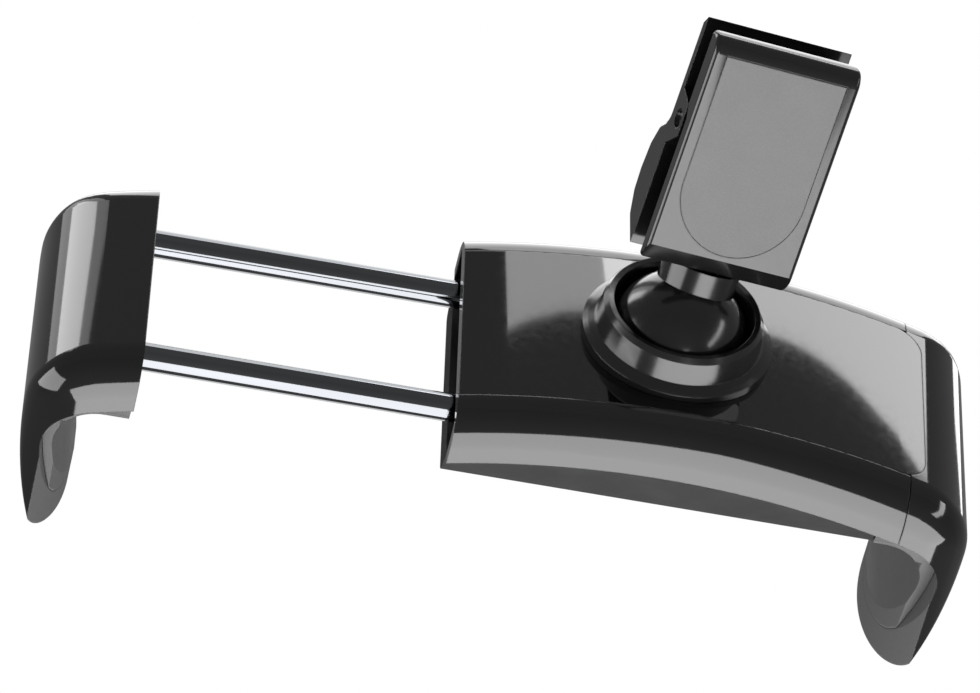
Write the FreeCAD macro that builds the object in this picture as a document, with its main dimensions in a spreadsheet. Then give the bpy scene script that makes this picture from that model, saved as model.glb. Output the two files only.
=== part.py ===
import FreeCAD, Part
import math
import os
import Sketcher

# Vent-clip phone holder. X runs along the sliding rods, Y from the vent side to the phone,
# Z along the jaws. Sketches are drawn from the crown of the arched back on the axis of the ball
# socket; set_origin then moves the nodes so that the origin lies on the front pad's flat face.

doc = FreeCAD.newDocument("phone_holder")
sheet = doc.addObject("Spreadsheet::Sheet", "sizes")
nodes = []


# Sizes in mm and degrees, by family
sizes = {
    # Housing
    "arch_radius": 100.0,
    "half_height": 15.8,
    "edge_round": 4.0,
    "shell_depth": 5.9,
    "shell_wall": 1.6,
    "left_end": 22.3,
    "cover_seam": 25.7,
    "seam_gap": 0.1,
    "fit_gap": 0.05,
    "panel_half": 11.8,
    "panel_thick": 0.8,
    "panel_end": 27.4,
    "panel_corner": 3.0,
    # Hook jaws
    "jaw_seam": 22.4,
    "corner_start": 27.5,
    "corner_radius": 8.2,
    "hook_radius": 40.0,
    "lip_start": 26.3,
    "lip_radius": 10.0,
    "lip_end": 26.6,
    "hook_wall": 2.2,
    "inner_corner": 5.8,
    "hook_round": 2.2,
    "tip_round": 0.3,
    "lip_plan_radius": 29.0,
    "plan_radius": 6.5,
    "plan_edge": 34.5,
    # Liners and front pad
    "liner_thick": 1.0,
    "liner_corner": 4.7,
    "face_y": 12.5,
    "pad_half": 15.4,
    "pad_face_half": 12.5,
    "pad_end": 23.6,
    "pad_shoulder": 6.4,
    "liner_seam": 23.7,
    # Chassis, rods and bushes
    "chassis_half": 12.3,
    "chassis_front": 8.9,
    "end_recess": 1.0,
    "rod_radius": 1.5,
    "rod_y": 6.6,
    "rod_z": 9.25,
    "travel": 32.5,
    "rod_grip": 6.0,
    "rod_inside": 9.0,
    "head_radius": 1.9,
    "head_length": 1.5,
    "head_gap": 0.1,
    "bush_length": 6.0,
    "run_gap": 0.04,
    # Ball joint
    "ball_radius": 7.5,
    "ball_y": 0.2,
    "neck_radius": 4.15,
    "neck_end": 8.7,
    "spigot_radius": 1.4,
    "spigot_end": 17.8,
    "ball_gap": 0.05,
    "cup_radius": 8.7,
    "cup_tail": 7.05,
    "cup_bottom": 8.4,
    "cup_step": 3.4,
    "cup_cone": 1.4,
    "collar_radius": 10.1,
    "collar_top": 4.3,
    "collar_rim": 8.5,
    "opening_radius": 7.5,
    "bead": 0.7,
    "collar_thread": 9.4,
    "catch": 2.6,
    # Vent clip, measured from the centre of the ball
    "clip_yaw": 11.2,
    "clip_pitch": -7.3,
    "clip_roll": -23.15,
    "clip_half": 8.2,
    "clip_low": 8.75,
    "clip_tip": 33.7,
    "plate_z": 4.75,
    "plate_thick": 1.5,
    "plate_round": 1.9,
    "core_half": 4.3,
    "core_top": 0.7,
    "core_high": 1.85,
    "core_end": 25.2,
    "pivot_d": 23.3,
    "pivot_z": -0.8,
    "pin_radius": 1.0,
    "pin_half": 7.7,
    "lever_low": 8.9,
    "lever_tip": 34.1,
    "lever_top": 2.0,
    "lever_wall": 1.4,
    "arch_top": 5.4,
    "cheek_low": 0.6,
    "cheek_half": 8.15,
    "cheek_gap": 0.3,
    "thumb_half": 6.8,
    "thumb_low": 11.2,
    "thumb_high": 31.8,
    "thumb_thick": 0.7,
    "grip_low": 27.0,
    "grip_high": 33.0,
    "grip_half": 6.0,
    "grip_gap": 0.4,
    "grip_mid": 1.0,
    "coil_radius": 1.42,
    "coil_wire": 0.25,
    "coil_turns": 3.0,
    "coil_pitch": 0.75,
    # Screws
    "screw_head": 1.9,
    "screw_drive": 0.7,
}

# Sizes that follow from the others
formulas = {
    "corner_y": "arch_radius - sqrt(arch_radius^2 - corner_start^2)",
    "corner_cx": "corner_start * (arch_radius - corner_radius) / arch_radius",
    "corner_cy": "arch_radius - (arch_radius - corner_y) * (arch_radius - corner_radius) / arch_radius",
    "hook_px": "corner_cx + corner_radius",
    "hook_cx": "hook_px - hook_radius",
    "hook_cy": "corner_cy",
    "liner_out": "hook_radius - hook_wall - fit_gap",
    "liner_y": "hook_cy + (lip_start - hook_cy) * liner_out / hook_radius",
}


def write_row(row, name, text):
    sheet.set("A%d" % row, name)
    sheet.set("B%d" % row, text)
    sheet.setAlias("B%d" % row, name)


for place, (key, number) in enumerate(sizes.items(), 1):
    write_row(place, key, str(number))
for place, (key, formula) in enumerate(formulas.items(), 200):
    write_row(place, key, "=" + formula)
doc.recompute()

Vec = FreeCAD.Vector
AXIS_Z = Vec(0, 0, 1)


def ref(name):
    return "sizes." + name


def plane(body, role):
    return [f for f in body.Origin.OriginFeatures if f.Role == role][0]


def add_body(name):
    body = doc.addObject("PartDesign::Body", name)
    body.Label = name
    return body


def keep(thing, name):
    thing.Label = name
    nodes.append(thing)
    return thing


def join(kind, name, base, tool):
    result = doc.addObject("Part::" + kind, name)
    result.Base = base
    result.Tool = tool
    return result


def add_sketch(body, name, role):
    sketch = body.newObject("Sketcher::SketchObject", name)
    sketch.AttachmentSupport = [(plane(body, role), "")]
    sketch.MapMode = "FlatFace"
    return sketch


# A closed outline is a chain of lines and arcs. An arc is (centre, start, end, turn).
def draw(sketch, chain, tangent=()):
    ends = []
    for item in chain:
        if len(item) == 2:
            p, q = item
            sketch.addGeometry(Part.LineSegment(Vec(*p, 0), Vec(*q, 0)), False)
            ends.append((1, 2))
            continue
        centre, p, q, turn = item
        radius = math.hypot(p[0] - centre[0], p[1] - centre[1])
        first = math.atan2(p[1] - centre[1], p[0] - centre[0])
        last = math.atan2(q[1] - centre[1], q[0] - centre[0])
        if turn < 0:
            first, last = last, first
        if last < first:
            last += 2 * math.pi
        circle = Part.Circle(Vec(*centre, 0), AXIS_Z, radius)
        sketch.addGeometry(Part.ArcOfCircle(circle, first, last), False)
        ends.append((1, 2) if turn > 0 else (2, 1))
    count = len(chain)
    for i in range(count):
        j = (i + 1) % count
        kind = "Tangent" if i in tangent else "Coincident"
        sketch.addConstraint(Sketcher.Constraint(kind, i, ends[i][1], j, ends[j][0]))
    return ends


def bind(sketch, constraint, expression):
    index = sketch.addConstraint(constraint)
    sketch.setExpression("Constraints[%d]" % index, expression)


def spot(sketch, item, place):
    return sketch.getPoint(item, place)


def bind_x(sketch, item, place, expression):
    value = spot(sketch, item, place).x
    bind(sketch, Sketcher.Constraint("DistanceX", -1, 1, item, place, value), expression)


def bind_y(sketch, item, place, expression):
    value = spot(sketch, item, place).y
    bind(sketch, Sketcher.Constraint("DistanceY", -1, 1, item, place, value), expression)


def bind_radius(sketch, item, expression):
    bind(sketch, Sketcher.Constraint("Radius", item, sketch.Geometry[item].Radius), expression)


def outline(body, name, role, points, expressions):
    sketch = add_sketch(body, name, role)
    count = len(points)
    draw(sketch, [(points[i], points[(i + 1) % count]) for i in range(count)])
    for i, (x, y) in enumerate(expressions):
        bind_x(sketch, i, 1, x)
        bind_y(sketch, i, 1, y)
    return sketch


def pad(body, sketch, name, length, both=True, turned=False):
    feature = body.newObject("PartDesign::Pad", name)
    feature.Profile = sketch
    feature.Midplane = both
    feature.Reversed = turned
    feature.setExpression("Length", length)
    return feature


def pocket(body, sketch, name, length, both=True, turned=False):
    feature = body.newObject("PartDesign::Pocket", name)
    feature.Profile = sketch
    feature.Midplane = both
    feature.Reversed = turned
    feature.setExpression("Length", length)
    return feature


def turn_profile(body, sketch, name, axis, cut=False):
    kind = "PartDesign::Groove" if cut else "PartDesign::Revolution"
    feature = body.newObject(kind, name)
    feature.Profile = sketch
    feature.ReferenceAxis = (plane(body, axis), [""])
    feature.Angle = 360
    return feature


def edges_where(feature, test):
    doc.recompute()
    return ["Edge%d" % (i + 1) for i, e in enumerate(feature.Shape.Edges) if test(e)]


def rounding(body, base, name, radius, test):
    names = edges_where(base, test)
    feature = body.newObject("PartDesign::Fillet", name)
    feature.Base = (base, names)
    feature.setExpression("Radius", radius)
    doc.recompute()
    return feature


def centred_arch(radius, x0, x1):
    mid = sizes["arch_radius"]
    y0 = mid - math.sqrt(radius ** 2 - x0 ** 2)
    y1 = mid - math.sqrt(radius ** 2 - x1 ** 2)
    return (0, mid), (x0, y0), (x1, y1)


# Band between two arcs about the same centre, closed by upright ends
def arch_band(sketch, outer, inner, x0, x1, names):
    mid, a, b = centred_arch(outer, x0, x1)
    _, c, d = centred_arch(inner, x0, x1)
    draw(sketch, [(mid, a, b, 1), (b, d), (mid, d, c, -1), (c, a)])
    sketch.addConstraint(Sketcher.Constraint("Coincident", 0, 3, 2, 3))
    bind_x(sketch, 0, 3, "0")
    bind_y(sketch, 0, 3, ref("arch_radius"))
    bind_radius(sketch, 0, names[0])
    bind_radius(sketch, 2, names[1])
    bind_x(sketch, 3, 2, names[2])
    bind_x(sketch, 1, 1, names[3])
    sketch.addConstraint(Sketcher.Constraint("Vertical", 1))
    sketch.addConstraint(Sketcher.Constraint("Vertical", 3))


def meet(c1, r1, c2, r2, side):
    dx, dy = c2[0] - c1[0], c2[1] - c1[1]
    gap = math.hypot(dx, dy)
    along = (gap ** 2 + r1 ** 2 - r2 ** 2) / (2 * gap)
    off = side * math.sqrt(r1 ** 2 - along ** 2)
    return (c1[0] + (along * dx - off * dy) / gap, c1[1] + (along * dy + off * dx) / gap)


def toward(centre, point, radius):
    dx, dy = point[0] - centre[0], point[1] - centre[1]
    gap = math.hypot(dx, dy)
    return (centre[0] + radius * dx / gap, centre[1] + radius * dy / gap)


# Centres of the four arcs of a hook's outer face, worked out from the sizes
def hook_centres():
    r1, r2 = sizes["arch_radius"], sizes["corner_radius"]
    r3, r4 = sizes["hook_radius"], sizes["lip_radius"]
    c1 = (0.0, r1)
    start = sizes["corner_start"]
    p12 = (start, r1 - math.sqrt(r1 ** 2 - start ** 2))
    c2 = toward(c1, p12, r1 - r2)
    p23 = (c2[0] + r2, c2[1])
    c3 = (p23[0] - r3, c2[1])
    y = sizes["lip_start"]
    p34 = (c3[0] + math.sqrt(r3 ** 2 - (y - c3[1]) ** 2), y)
    c4 = toward(p34, c3, r4)
    return (c1, c2, c3, c4), (p12, p23, p34)


def flip(chain, side):
    if side > 0:
        return chain
    turned = []
    for item in chain:
        if len(item) == 2:
            turned.append(((-item[0][0], item[0][1]), (-item[1][0], item[1][1])))
        else:
            c, p, q, turn = item
            turned.append(((-c[0], c[1]), (-p[0], p[1]), (-q[0], q[1]), -turn))
    return turned


def signed(side, expression):
    return expression if side > 0 else "-(%s)" % expression


# Section of a hook jaw: arched back, outer corner, hook and lip, then back along the inside
def hook_section(sketch, side, seam):
    (c1, c2, c3, c4), (p12, p23, p34) = hook_centres()
    wall = sizes["hook_wall"]
    end = sizes["lip_end"]
    outer_end = (end, c4[1] + math.sqrt(sizes["lip_radius"] ** 2 - (end - c4[0]) ** 2))
    inner_lip = sizes["lip_radius"] - wall
    inner_end = (end, c4[1] + math.sqrt(inner_lip ** 2 - (end - c4[0]) ** 2))
    inner_hook = sizes["hook_radius"] - wall
    q34 = toward(c3, p34, inner_hook)
    depth = sizes["arch_radius"] - sizes["shell_depth"]
    r5 = sizes["inner_corner"]
    c5 = meet(c1, depth - r5, c3, inner_hook - r5, 1)
    q53 = toward(c3, c5, inner_hook)
    q15 = toward(c1, c5, depth)
    x0 = sizes[seam]
    a = (x0, c1[1] - math.sqrt(c1[1] ** 2 - x0 ** 2))
    b = (x0, c1[1] - math.sqrt(depth ** 2 - x0 ** 2))
    chain = [
        (b, a),
        (c1, a, p12, 1),
        (c2, p12, p23, 1),
        (c3, p23, p34, 1),
        (c4, p34, outer_end, 1),
        (outer_end, inner_end),
        (c4, inner_end, q34, -1),
        (c3, q34, q53, -1),
        (c5, q53, q15, -1),
        (c1, q15, b, -1),
    ]
    ends = draw(sketch, flip(chain, side), (1, 2, 3, 6, 7, 8))
    sketch.addConstraint(Sketcher.Constraint("Vertical", 0))
    sketch.addConstraint(Sketcher.Constraint("Vertical", 5))
    for outer, inner in ((1, 9), (3, 7), (4, 6)):
        sketch.addConstraint(Sketcher.Constraint("Coincident", outer, 3, inner, 3))
    bind_radius(sketch, 1, ref("arch_radius"))
    bind_radius(sketch, 2, ref("corner_radius"))
    bind_radius(sketch, 3, ref("hook_radius"))
    bind_radius(sketch, 4, ref("lip_radius"))
    bind_radius(sketch, 6, "sizes.lip_radius - sizes.hook_wall")
    bind_radius(sketch, 8, ref("inner_corner"))
    bind_radius(sketch, 9, "sizes.arch_radius - sizes.shell_depth")
    bind_x(sketch, 1, 3, "0")
    bind_y(sketch, 1, 3, ref("arch_radius"))
    bind_x(sketch, 0, 1, signed(side, ref(seam)))
    bind_x(sketch, 1, ends[1][1], signed(side, ref("corner_start")))
    bind_y(sketch, 2, ends[2][1], ref("corner_cy"))
    bind_y(sketch, 3, ends[3][1], ref("lip_start"))
    bind_x(sketch, 4, ends[4][1], signed(side, ref("lip_end")))


# Section of the soft liner: lies in the hook and ends in the flat face that bears the phone
def liner_section(sketch, side, seam):
    (c1, _, c3, c4), (_, _, p34) = hook_centres()
    gap, thick = sizes["fit_gap"], sizes["liner_thick"]
    out_lip = sizes["lip_radius"] - sizes["hook_wall"] - gap
    out_hook = sizes["hook_radius"] - sizes["hook_wall"] - gap
    out_arch = sizes["arch_radius"] - sizes["shell_depth"] - gap
    r5 = sizes["inner_corner"] - gap
    c5 = meet(c1, out_arch - r5, c3, out_hook - r5, 1)
    q34, q53, q15 = toward(c3, p34, out_hook), toward(c3, c5, out_hook), toward(c1, c5, out_arch)
    in_hook, in_lip = out_hook - thick, out_lip - thick
    end = sizes["lip_end"] + gap
    out_end = (end, c4[1] + math.sqrt(out_lip ** 2 - (end - c4[0]) ** 2))
    in_end = (end, c4[1] + math.sqrt(in_lip ** 2 - (end - c4[0]) ** 2))
    s34 = toward(c3, p34, in_hook)
    r6, face = sizes["liner_corner"], sizes["face_y"]
    y6 = face + r6
    c6 = (c3[0] + math.sqrt((in_hook - r6) ** 2 - (y6 - c3[1]) ** 2), y6)
    s63 = toward(c3, c6, in_hook)
    x0 = sizes[seam] + gap
    a = (x0, c1[1] - math.sqrt(out_arch ** 2 - x0 ** 2))
    chain = [
        (c1, a, q15, 1),
        (c5, q15, q53, 1),
        (c3, q53, q34, 1),
        (c4, q34, out_end, 1),
        (out_end, in_end),
        (c4, in_end, s34, -1),
        (c3, s34, s63, -1),
        (c6, s63, (c6[0], face), -1),
        ((c6[0], face), (x0, face)),
        ((x0, face), a),
    ]
    ends = draw(sketch, flip(chain, side), (0, 1, 2, 5, 6, 7))
    sketch.addConstraint(Sketcher.Constraint("Vertical", 4))
    sketch.addConstraint(Sketcher.Constraint("Horizontal", 8))
    sketch.addConstraint(Sketcher.Constraint("Vertical", 9))
    sketch.addConstraint(Sketcher.Constraint("Coincident", 2, 3, 6, 3))
    sketch.addConstraint(Sketcher.Constraint("Coincident", 3, 3, 5, 3))
    bind_radius(sketch, 0, "sizes.arch_radius - sizes.shell_depth - sizes.fit_gap")
    bind_radius(sketch, 1, "sizes.inner_corner - sizes.fit_gap")
    bind_radius(sketch, 2, ref("liner_out"))
    bind_radius(sketch, 3, "sizes.lip_radius - sizes.hook_wall - sizes.fit_gap")
    bind_radius(sketch, 5, "sizes.lip_radius - sizes.hook_wall - sizes.fit_gap - sizes.liner_thick")
    bind_radius(sketch, 7, ref("liner_corner"))
    bind_x(sketch, 0, 3, "0")
    bind_y(sketch, 0, 3, ref("arch_radius"))
    bind_x(sketch, 2, 3, signed(side, ref("hook_cx")))
    bind_y(sketch, 2, 3, ref("hook_cy"))
    bind_y(sketch, 8, 1, ref("face_y"))
    bind_x(sketch, 9, 1, signed(side, "sizes.%s + sizes.fit_gap" % seam))
    bind_y(sketch, 2, ends[2][1], ref("liner_y"))
    bind_x(sketch, 4, 1, signed(side, "sizes.lip_end + sizes.fit_gap"))


# Housing shell: an arched tray, open toward the phone and at its left end
def main_shell():
    body = add_body("main_shell")
    r, depth, wall = sizes["arch_radius"], sizes["shell_depth"], sizes["shell_wall"]
    x0, x1 = -sizes["left_end"], sizes["cover_seam"] - sizes["seam_gap"]
    band = add_sketch(body, "shell_band", "XY_Plane")
    arch_band(band, r, r - depth, x0, x1, (
        ref("arch_radius"), "sizes.arch_radius - sizes.shell_depth",
        "-sizes.left_end", "sizes.cover_seam - sizes.seam_gap"))
    base = pad(body, band, "shell_pad", "2 * sizes.half_height")
    half = sizes["half_height"]

    def outer_edge(edge):
        box = edge.BoundBox
        flat = abs(abs(box.ZMax) - half) < 0.01 and box.ZLength < 0.01
        return flat and box.YMin < 0.5 and box.XLength > 20
    rounding(body, base, "shell_round", ref("edge_round"), outer_edge)
    inside = add_sketch(body, "shell_inside", "XY_Plane")
    arch_band(inside, r - wall, r - 3 * depth, x0 - 1, x1 + 1, (
        "sizes.arch_radius - sizes.shell_wall", "sizes.arch_radius - 3 * sizes.shell_depth",
        "-sizes.left_end - 1", "sizes.cover_seam + 1"))
    pocket(body, inside, "shell_hollow", "2 * (sizes.half_height - sizes.shell_wall)")
    recess = add_sketch(body, "shell_recess", "XY_Plane")
    arch_band(recess, r + 1, r - sizes["panel_thick"], x0 - 1, x1 + 1, (
        "sizes.arch_radius + 1", "sizes.arch_radius - sizes.panel_thick",
        "-sizes.left_end - 1", "sizes.cover_seam + 1"))
    pocket(body, recess, "shell_seat", "2 * sizes.panel_half")
    socket_hole(body, "shell")


# Back panel: a glossy arched plate let into the shell. With no gap it is the cutter of its seat.
def panel_plate(name, gap, opening):
    body = add_body(name)
    r, thick, end = sizes["arch_radius"], sizes["panel_thick"] - gap, sizes["panel_end"]
    less = " - sizes.fit_gap" if gap else ""
    band = add_sketch(body, name + "_band", "XY_Plane")
    lift = 0 if gap else 1
    arch_band(band, r + lift, r - thick, -sizes["left_end"], end - gap, (
        "sizes.arch_radius + %d" % lift, "sizes.arch_radius - (sizes.panel_thick%s)" % less,
        "-sizes.left_end", "sizes.panel_end" + less))
    pad(body, band, name + "_pad", "2 * (sizes.panel_half%s)" % less)
    radius, half = sizes["panel_corner"], sizes["panel_half"] - gap
    for way, tag in ((1, "top"), (-1, "bottom")):
        corner = add_sketch(body, name + "_corner_" + tag, "XZ_Plane")
        x = end - gap
        p, q = (x - radius, way * half), (x, way * (half - radius))
        far = (x + 1, way * (half + 1))
        chain = [((p[0], q[1]), p, q, -way), (q, (far[0], q[1])),
                 ((far[0], q[1]), far), (far, (p[0], far[1])), ((p[0], far[1]), p)]
        draw(corner, chain)
        sign = "" if way > 0 else "-"
        for item in (1, 3):
            corner.addConstraint(Sketcher.Constraint("Horizontal", item))
        for item in (2, 4):
            corner.addConstraint(Sketcher.Constraint("Vertical", item))
        side_x = "sizes.panel_end%s - sizes.panel_corner" % less
        side_z = "%s(sizes.panel_half%s - sizes.panel_corner)" % (sign, less)
        bind_radius(corner, 0, ref("panel_corner"))
        bind_x(corner, 0, 3, side_x)
        bind_y(corner, 0, 3, side_z)
        bind_x(corner, 2, 1, "sizes.panel_end%s + 1" % less)
        bind_y(corner, 2, 2, "%s(sizes.panel_half%s + 1)" % (sign, less))
        bind_x(corner, 4, 1, side_x)
        bind_y(corner, 2, 1, side_z)
        pocket(body, corner, name + "_cut_" + tag, "20")
    if opening:
        socket_hole(body, name)
    return body


def socket_hole(body, label):
    socket = add_sketch(body, label + "_socket", "XZ_Plane")
    socket.addGeometry(Part.Circle(Vec(0, 0, 0), AXIS_Z, sizes["collar_thread"]), False)
    socket.addConstraint(Sketcher.Constraint("Coincident", 0, 3, -1, 1))
    bind_radius(socket, 0, "sizes.collar_thread + sizes.fit_gap")
    pocket(body, socket, label + "_opening", "6")


# Trims the sides and the lip of a hook to its tongue outline
def trim_tongue(body, side, label):
    half = sizes["half_height"]
    round_corners(body, side, label)
    sketch = add_sketch(body, label + "_lip_plan", "XZ_Plane")
    plan, end = sizes["lip_plan_radius"], sizes["lip_end"]
    centre = (side * (end + plan), 0)
    reach = half + 2
    x = end + plan - math.sqrt(plan ** 2 - reach ** 2)
    a, b = (side * x, -reach), (side * x, reach)
    back = (side * (end - 4), reach), (side * (end - 4), -reach)
    draw(sketch, [(centre, a, b, -side), (b, back[0]), (back[0], back[1]), (back[1], a)])
    sketch.addConstraint(Sketcher.Constraint("Horizontal", 1))
    sketch.addConstraint(Sketcher.Constraint("Vertical", 2))
    sketch.addConstraint(Sketcher.Constraint("Horizontal", 3))
    bind_radius(sketch, 0, ref("lip_plan_radius"))
    bind_x(sketch, 0, 3, signed(side, "sizes.lip_end + sizes.lip_plan_radius"))
    bind_y(sketch, 0, 3, "0")
    bind_x(sketch, 2, 1, signed(side, "sizes.lip_end - 4"))
    bind_y(sketch, 2, 1, "sizes.half_height + 2")
    bind_y(sketch, 2, 2, "-(sizes.half_height + 2)")
    return sketch


# Rounds the two outer corners of a jaw as seen from the back
def round_corners(body, side, label):
    radius, edge, half = sizes["plan_radius"], sizes["plan_edge"], sizes["half_height"]
    for way, tag in ((1, "top"), (-1, "bottom")):
        sketch = add_sketch(body, label + "_plan_" + tag, "XZ_Plane")
        centre = (edge - radius, way * (half - radius))
        p, q = (edge - radius, way * half), (edge, way * (half - radius))
        far = (edge + 3, way * (half + 3))
        chain = [(centre, p, q, -way), (q, (far[0], q[1])), ((far[0], q[1]), far),
                 (far, (p[0], far[1])), ((p[0], far[1]), p)]
        draw(sketch, flip(chain, side))
        for item in (1, 3):
            sketch.addConstraint(Sketcher.Constraint("Horizontal", item))
        for item in (2, 4):
            sketch.addConstraint(Sketcher.Constraint("Vertical", item))
        sign = "" if way > 0 else "-"
        low = "%s(sizes.half_height - sizes.plan_radius)" % sign
        bind_radius(sketch, 0, ref("plan_radius"))
        bind_x(sketch, 0, 3, signed(side, "sizes.plan_edge - sizes.plan_radius"))
        bind_y(sketch, 0, 3, low)
        bind_x(sketch, 2, 1, signed(side, "sizes.plan_edge + 3"))
        bind_y(sketch, 2, 2, "%s(sizes.half_height + 3)" % sign)
        bind_x(sketch, 4, 1, signed(side, "sizes.plan_edge - sizes.plan_radius"))
        bind_y(sketch, 2, 1, low)
        pocket(body, sketch, label + "_corner_" + tag, "120")


# Cuts the lip outline only beyond the flat part of the hook
def cut_lip(body, sketch, label):
    sketch.setExpression("AttachmentOffset.Base.z", "-(sizes.lip_start - 12)")
    feature = pocket(body, sketch, label + "_lip", "20", both=False)
    doc.recompute()
    return feature


def hook_body(name, side, seam):
    body = add_body(name)
    section = add_sketch(body, name + "_section", "XY_Plane")
    hook_section(section, side, seam)
    pad(body, section, name + "_pad", "2 * sizes.half_height")
    plan = trim_tongue(body, side, name)
    return body, cut_lip(body, plan, name)


# Outer edges of the hook: broad rounding at the back that narrows toward the tip
def round_hook(body, feature, name, side):
    doc.recompute()
    shape = feature.Shape
    outer = [sizes[key] for key in ("arch_radius", "corner_radius", "hook_radius")]
    bend = hook_centres()[0][1][1]
    picks = []
    for number, edge in enumerate(shape.Edges, 1):
        faces = [face.Surface for face in shape.ancestorsOfType(edge, Part.Face)]
        radii = [getattr(surface, "Radius", 0) for surface in faces]
        skins = [any(abs(radius - value) < 0.01 for value in outer) for radius in radii]
        sides = [radius == 0 or abs(radius - sizes["plan_radius"]) < 0.01 for radius in radii]
        first, last = edge.Vertexes[0].Point, edge.Vertexes[-1].Point
        if min(abs(first.z), abs(last.z)) < 5 or first.z * last.z < 0:
            continue
        if (skins[0] and sides[1]) or (skins[1] and sides[0]):
            low, high = sorted((first.y, last.y))
            r1 = sizes["edge_round"] if low < bend - 0.1 else sizes["hook_round"]
            r2 = sizes["edge_round"] if high < bend - 0.1 else sizes["hook_round"]
            if low > bend - 0.1:
                r2 = sizes["tip_round"]
            picks.append((number, r1, r2) if side > 0 else (number, r2, r1))
    result = doc.addObject("Part::Fillet", name + "_rounded")
    result.Base = body
    result.Edges = picks
    doc.recompute()
    return result


def liner(name, side, seam):
    body = add_body(name + "_band")
    section = add_sketch(body, name + "_section", "XY_Plane")
    liner_section(section, side, seam)
    pad(body, section, name + "_pad", "2 * sizes.half_height")
    plan = trim_tongue(body, side, name)
    cut_lip(body, plan, name)
    slab = add_body(name + "_slab")
    y = (0.0, sizes["pad_shoulder"], sizes["face_y"] - 0.3, sizes["lip_start"] + 8)
    z = (sizes["pad_half"], sizes["pad_half"], sizes["pad_face_half"], sizes["pad_face_half"] - 1.5)
    corners = list(zip(y, z)) + [(b, -a) for b, a in reversed(list(zip(y, z)))]
    names = [("0", "sizes.pad_half"), ("sizes.pad_shoulder", "sizes.pad_half"),
             ("sizes.face_y - 0.3", "sizes.pad_face_half"),
             ("sizes.lip_start + 8", "sizes.pad_face_half - 1.5")]
    names += [(b, "-(%s)" % a) for b, a in reversed(names)]
    outline(slab, name + "_profile", "YZ_Plane", corners, names)
    pad(slab, doc.getObject(name + "_profile"), name + "_width", "140")
    return join("Common", name, body, slab)


def jaws():
    body, last = hook_body("fixed_hook", 1, "cover_seam")
    rounded = round_hook(body, last, "fixed_hook", 1)
    cutter = panel_plate("panel_seat", 0, False)
    keep(join("Cut", "fixed_jaw_cover", rounded, cutter), "fixed_jaw_cover")
    body, last = hook_body("sliding_hook", -1, "jaw_seam")
    last = round_hook(body, last, "sliding_hook", -1)
    for sign, tag in (("", "upper"), ("-", "lower")):
        last = join("Cut", "jaw_less_%s_rod" % tag, last, rod_socket(sign, tag))
    last.setExpression("Placement.Base.x", "-sizes.travel")
    keep(last, "sliding_jaw")
    keep(liner("fixed_jaw_liner", 1, "liner_seam"), "fixed_jaw_liner")
    moving = keep(liner("sliding_jaw_liner", -1, "jaw_seam"), "sliding_jaw_liner")
    moving.setExpression("Placement.Base.x", "-sizes.travel")


# Blind hole of the sliding jaw in which a rod is fixed
def rod_socket(sign, tag):
    hole = doc.addObject("Part::Cylinder", "jaw_socket_" + tag)
    hole.Placement.Rotation = FreeCAD.Rotation(Vec(0, 1, 0), 90)
    hole.setExpression("Radius", ref("rod_radius"))
    hole.setExpression("Height", ref("rod_grip"))
    hole.setExpression("Placement.Base.x", "0 - sizes.jaw_seam - sizes.rod_grip")
    hole.setExpression("Placement.Base.y", ref("rod_y"))
    hole.setExpression("Placement.Base.z", "%ssizes.rod_z" % sign)
    return hole


def rod_circle(sketch, way, radius, extra):
    centre = Vec(sizes["rod_y"], way * sizes["rod_z"], 0)
    sketch.addGeometry(Part.Circle(centre, AXIS_Z, sizes[radius]), False)
    bind_x(sketch, 0, 3, ref("rod_y"))
    bind_y(sketch, 0, 3, "sizes.rod_z" if way > 0 else "-sizes.rod_z")
    bind_radius(sketch, 0, "sizes.%s%s" % (radius, extra))


# Soft front pad: flat face, sloping sides, a skirt round the chassis
def front_pad():
    body = add_body("front_pad")
    y = (0.0, sizes["pad_shoulder"], sizes["face_y"] - 0.3, sizes["face_y"])
    z = (sizes["pad_half"], sizes["pad_half"], sizes["pad_face_half"], sizes["pad_face_half"] - 0.6)
    points = list(zip(y, z))
    names = [("0", "sizes.pad_half"), ("sizes.pad_shoulder", "sizes.pad_half"),
             ("sizes.face_y - 0.3", "sizes.pad_face_half"), ("sizes.face_y", "sizes.pad_face_half - 0.6")]
    points += [(b, -a) for b, a in reversed(points)]
    names += [(b, "-(%s)" % a) for b, a in reversed(names)]
    section = outline(body, "pad_section", "YZ_Plane", points, names)
    section.setExpression("AttachmentOffset.Base.z", "-sizes.left_end")
    pad(body, section, "pad_length", "sizes.left_end + sizes.pad_end", both=False)
    under = add_sketch(body, "pad_under", "XY_Plane")
    r = sizes["arch_radius"]
    depth = sizes["shell_depth"]
    arch_band(under, r + 20, r - depth - sizes["fit_gap"], -sizes["left_end"] - 2, sizes["pad_end"] + 2, (
        "sizes.arch_radius + 20", "sizes.arch_radius - sizes.shell_depth - sizes.fit_gap",
        "-sizes.left_end - 2", "sizes.pad_end + 2"))
    pocket(body, under, "pad_arch", "2 * sizes.half_height")
    x0, x1 = -sizes["left_end"] - 1, sizes["pad_end"] + 1
    y1 = sizes["chassis_front"] + sizes["fit_gap"]
    room = outline(body, "pad_room", "XY_Plane", [(x0, -1), (x1, -1), (x1, y1), (x0, y1)], [
        ("-sizes.left_end - 1", "-1"), ("sizes.pad_end + 1", "-1"),
        ("sizes.pad_end + 1", "sizes.chassis_front + sizes.fit_gap"),
        ("-sizes.left_end - 1", "sizes.chassis_front + sizes.fit_gap")])
    pocket(body, room, "pad_hollow", "2 * (sizes.chassis_half + sizes.fit_gap)")
    keep(body, "front_pad")


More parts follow.
